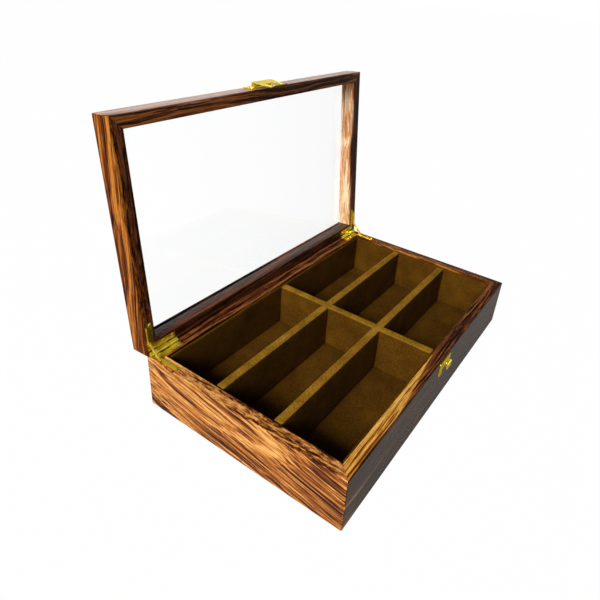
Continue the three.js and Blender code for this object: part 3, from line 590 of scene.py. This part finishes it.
def gridded_box(lines):
    """A closed box whose faces are cut along the three lists of lines."""
    bm = bmesh.new()
    made = {}

    def vertex(i, j, k):
        key = (i, j, k)
        if key not in made:
            made[key] = bm.verts.new((lines[0][i], lines[1][j], lines[2][k]))
        return made[key]

    last = [len(line) - 1 for line in lines]
    for axis in range(3):
        u, v = (axis + 1) % 3, (axis + 2) % 3
        for side in (0, last[axis]):
            for a in range(last[u]):
                for b in range(last[v]):
                    corners = []
                    for da, db in ((0, 0), (1, 0), (1, 1), (0, 1)):
                        index = [0, 0, 0]
                        index[axis] = side
                        index[u] = a + da
                        index[v] = b + db
                        corners.append(vertex(*index))
                    bm.faces.new(corners if side else corners[::-1])
    return bm


def covered_board(node, radius, crown, lumps, seed, fold=None, grow=(0, 0, 0)):
    """A board wrapped in cloth: a rounded box, gently crowned, with a slightly uneven surface.

    fold = (axis, width, height) raises a strip of doubled cloth along the top of both sides that
    face the axis. grow moves each side out along each axis, or in where it is negative.
    """
    low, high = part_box(node)
    low = low - Vector(grow)
    high = high + Vector(grow)
    size = high - low
    bm = gridded_box([grid_lines(low[i], high[i], radius) for i in range(3)])
    centre = (low + high) / 2
    half = [max(size[i] / 2 - radius, WELD) for i in range(3)]
    thin = min(range(3), key=lambda i: size[i])
    for vert in bm.verts:
        core = Vector([
            min(max(vert.co[i], low[i] + radius), high[i] - radius) for i in range(3)
        ])
        direction = (vert.co - core).normalized()
        swell = crown * abs(direction[thin])
        for i in range(3):
            if i != thin:
                swell *= max(1 - abs((core[i] - centre[i]) / half[i]) ** CROWN_POWER, 0.0)
        where = vert.co / MM
        lump = noise.noise(where * COARSE_LUMPS[0] + Vector((seed, 0, 0))) * COARSE_LUMPS[1]
        lump += noise.noise(where * FINE_LUMPS[0] + Vector((0, seed, 0))) * FINE_LUMPS[1]
        vert.co = core + direction * (radius + swell + lumps * lump)
        if fold:
            axis, width, height = fold
            below = high.z - where.z * MM
            level = Vector((where.x, where.y, 0))
            wave = noise.noise(level * 0.12 + Vector((seed, 7, 0))) * FOLD_WAVE
            pinch = noise.noise(Vector((where.x, where.y, where.z * 0.4)) * 0.5) * FOLD_PINCH
            edge = min(max((width + wave - below) / FOLD_EDGE, 0.0), 1.0)
            standing_out = height * edge * (FOLD_HEIGHT_SHARE + pinch) * abs(direction[axis])
            vert.co[axis] += math.copysign(standing_out, direction[axis])

    bmesh.ops.recalc_face_normals(bm, faces=bm.faces)
    piece = to_object(node + "_cloth", bm)
    shade(piece, 60.0, weighted=False)
    cloth = DIVIDER_CLOTH if node.startswith("divider") else CLOTH
    settle(piece, "base", cloth, node)


for index, side in enumerate(("front", "back", "left", "right")):
    covered_board(f"liner_{side}", radius=0.5 * MM, crown=0.12 * MM, lumps=0.1 * MM,
                  seed=11.0 + index, grow=(0, 0, -0.6 * MM))
for index, side in enumerate(("front", "rear")):
    covered_board(f"divider_long_{side}", radius=1.3 * MM, crown=0.25 * MM, lumps=0.22 * MM,
                  seed=21.0 + index)
covered_board("divider_cross", radius=1.2 * MM, crown=0.2 * MM, lumps=0.22 * MM, seed=23.0,
              fold=(0, 2.4 * MM, 0.28 * MM), grow=(0, 0, -0.2 * MM))
for index in range(1, 7):
    covered_board(f"floor_pad_{index}", radius=0.6 * MM, crown=0.25 * MM, lumps=0.1 * MM,
                  seed=30.0 + index)


# ---------------------------------------------------------------- Brass
BRASS = polished_brass()
RIVET_CLEARANCE = 0.03 * MM
CRISP_OVER = math.radians(35.0)
LEAF_EDGE = 0.14 * MM
SMALL_EDGE = 0.08 * MM


def shortened(bm, clearance):
    """Draws both ends of a part that lies along X in by a hair, to clear the recess it turns in."""
    low = min(vertex.co.x for vertex in bm.verts)
    high = max(vertex.co.x for vertex in bm.verts)
    for vertex in bm.verts:
        if vertex.co.x < low + WELD:
            vertex.co.x += clearance
        elif vertex.co.x > high - WELD:
            vertex.co.x -= clearance


def brass_piece(node, body, radius):
    """The CAD piece with every crisp edge softened."""
    bm = node_mesh(node)
    if "rivet" in node:
        shortened(bm, RIVET_CLEARANCE)
    crisp = [
        edge for edge in bm.edges
        if len(edge.link_faces) == 2 and edge.calc_face_angle(0.0) > CRISP_OVER
    ]
    bevel(bm, crisp, radius, segments=2)
    made = to_object(node + "_brass", bm)
    shade(made, 38.0)
    settle(made, body, BRASS, node)


for body, nodes in frame["record"]["behaviour"]["bodies"].items():
    for node in nodes:
        if frame["nodes"][node].hide_render:
            continue
        if any(word in node for word in ("screw", "pin", "rivet")):
            brass_piece(node, body, SMALL_EDGE)
        elif any(word in node for word in ("leaf", "stay", "latch", "catch")):
            brass_piece(node, body, LEAF_EDGE)


# ---------------------------------------------------------------- Glass and underside
def softened(node, body, material, radius, matrix=REST):
    """A sheet with all its edges eased."""
    bm = node_mesh(node, matrix)
    bevel(bm, list(bm.edges), radius, segments=2)
    made = to_object(node + "_sheet", bm)
    shade(made, 32.0)
    settle(made, body, material, node, matrix)


softened("lid_glass", "lid", clear_glass(), 0.2 * MM, LID)
softened("base_bottom_panel", "base", bottom_board(), 0.3 * MM)


# ---------------------------------------------------------------- Floor, light and camera
PANE_MAKE_UP = 1.06
FLOOR_SIZE = 12.0
FLOOR_GLOW = 0.99
SKY_FILL = 0.055
SKY_IN_REFLECTIONS = 0.2
HORIZON_IN_REFLECTIONS = 1.4
HORIZON_BAND = (0.2, 0.32)
WHITE = (1.0, 1.0, 1.0, 1.0)
WARM_WHITE = (1.0, 0.97, 0.93)

CAMERA_POSITION = (-0.3845, -0.2001, 0.3476)
CAMERA_ANGLES = (-57.69, 27.96, 4.76)
CAMERA_LENS = 31.03
CAMERA_SHIFT = (-0.0349, -0.0782)
SENSOR_WIDTH = 36.0


def seen_directly(tree):
    """1 for what the camera sees, a little more through glass, and 0 for light bounced around."""
    path = add(tree, "ShaderNodeLightPath")
    bounces = maths(tree, "ADD", path.outputs["Glossy Depth"], path.outputs["Diffuse Depth"])
    unbounced = maths(tree, "SUBTRACT", 1.0, bounces, clamp=True)
    unbounced = maths(tree, "MULTIPLY", unbounced, PANE_MAKE_UP)
    through_glass = maths(tree, "MULTIPLY", path.outputs["Is Transmission Ray"], unbounced)
    return maths(tree, "MAXIMUM", path.outputs["Is Camera Ray"], through_glass)


def floor():
    """A pale floor that the camera sees as white, and that bounces less light than that."""
    bm = bmesh.new()
    bmesh.ops.create_grid(bm, x_segments=2, y_segments=2, size=FLOOR_SIZE)
    made = to_object("studio_floor", bm)
    material, tree = new_material("studio_floor")
    place = add(tree, "ShaderNodeTexCoord").outputs["Object"]
    mottle = add(tree, "ShaderNodeTexNoise",
                 {"Vector": place, "Scale": 3.0, "Detail": 2.0}).outputs[0]
    colour = ramp(tree, mottle, [(0.3, "b9b8b6"), (0.7, "bdbcba")])
    lit = add(tree, "ShaderNodeBsdfDiffuse", {"Color": colour})
    seen = seen_directly(tree)
    glow = add(tree, "ShaderNodeEmission", {"Color": WHITE, "Strength": seen})
    share = maths(tree, "MULTIPLY", seen, FLOOR_GLOW, clamp=True)
    both = add(tree, "ShaderNodeMixShader", {0: share, 1: lit.outputs[0], 2: glow.outputs[0]})
    add(tree, "ShaderNodeOutputMaterial", {"Surface": both.outputs[0]})
    made.data.materials.append(material)


def sun_light(name, azimuth, elevation, softness, power):
    """A distant light. azimuth turns from -X towards +Y, in degrees."""
    light = bpy.data.lights.new(name, "SUN")
    light.energy = power
    light.angle = math.radians(softness)
    light.color = WARM_WHITE
    made = bpy.data.objects.new(name, light)
    a, e = math.radians(azimuth), math.radians(elevation)
    towards = Vector((-math.cos(a) * math.cos(e), math.sin(a) * math.cos(e), math.sin(e)))
    made.rotation_euler = towards.to_track_quat("Z", "Y").to_euler()
    bpy.context.scene.collection.objects.link(made)


def area_light(name, position, target, size, power):
    """A square soft box, hidden from the camera."""
    light = bpy.data.lights.new(name, "AREA")
    light.shape = "RECTANGLE"
    light.size, light.size_y = size, size
    light.energy = power
    light.color = WARM_WHITE
    made = bpy.data.objects.new(name, light)
    made.location = position
    made.rotation_euler = (Vector(target) - Vector(position)).to_track_quat("-Z", "Y").to_euler()
    bpy.context.scene.collection.objects.link(made)
    made.visible_camera = False


def camera():
    """Off the box's front left corner, looking down across it and slightly rolled.

    CAMERA_ANGLES are its azimuth from the front, its elevation and its roll, in degrees.
    """
    azimuth, elevation, roll = (math.radians(angle) for angle in CAMERA_ANGLES)
    back = Vector((
        math.sin(azimuth) * math.cos(elevation),
        -math.cos(azimuth) * math.cos(elevation),
        math.sin(elevation),
    ))
    right = Vector((0, 0, 1)).cross(back).normalized()
    up = back.cross(right)
    turned_right = right * math.cos(roll) + up * math.sin(roll)
    turned_up = up * math.cos(roll) - right * math.sin(roll)
    data = bpy.data.cameras.new("camera")
    data.lens = CAMERA_LENS
    data.sensor_width = SENSOR_WIDTH
    data.shift_x, data.shift_y = CAMERA_SHIFT
    data.clip_start = 0.01
    data.clip_end = 50.0
    made = bpy.data.objects.new("camera", data)
    turn = Matrix((turned_right, turned_up, back)).transposed().to_4x4()
    made.matrix_world = Matrix.Translation(CAMERA_POSITION) @ turn
    bpy.context.scene.collection.objects.link(made)
    bpy.context.scene.camera = made


def studio_world():
    """White where the camera sees it, dim for bounced light, and bright low down in reflections."""
    world = bpy.data.worlds.new("studio")
    bpy.context.scene.world = world
    world.use_nodes = True
    sky = world.node_tree
    backdrop = sky.nodes["Background"]
    backdrop.inputs["Color"].default_value = WHITE
    direction = add(sky, "ShaderNodeTexCoord").outputs["Generated"]
    rise = add(sky, "ShaderNodeSeparateXYZ", {"Vector": direction}).outputs["Z"]
    horizon = map_range(sky, rise, *HORIZON_BAND, HORIZON_IN_REFLECTIONS, SKY_IN_REFLECTIONS,
                        smooth=True)
    is_glossy = add(sky, "ShaderNodeLightPath").outputs["Is Glossy Ray"]
    unseen = maths(sky, "MAXIMUM", maths(sky, "MULTIPLY", is_glossy, horizon), SKY_FILL)
    strength = maths(sky, "MAXIMUM", seen_directly(sky), unseen)
    sky.links.new(strength, backdrop.inputs["Strength"])


floor()
sun_light("key_sun", azimuth=-6.0, elevation=36.5, softness=22.0, power=2.05)
area_light("key_near", (-1.05, -0.12, 0.62), (0, 0, 0.05), size=0.4, power=8.0)
camera()
studio_world()
bpy.context.scene.view_settings.view_transform = "Standard"
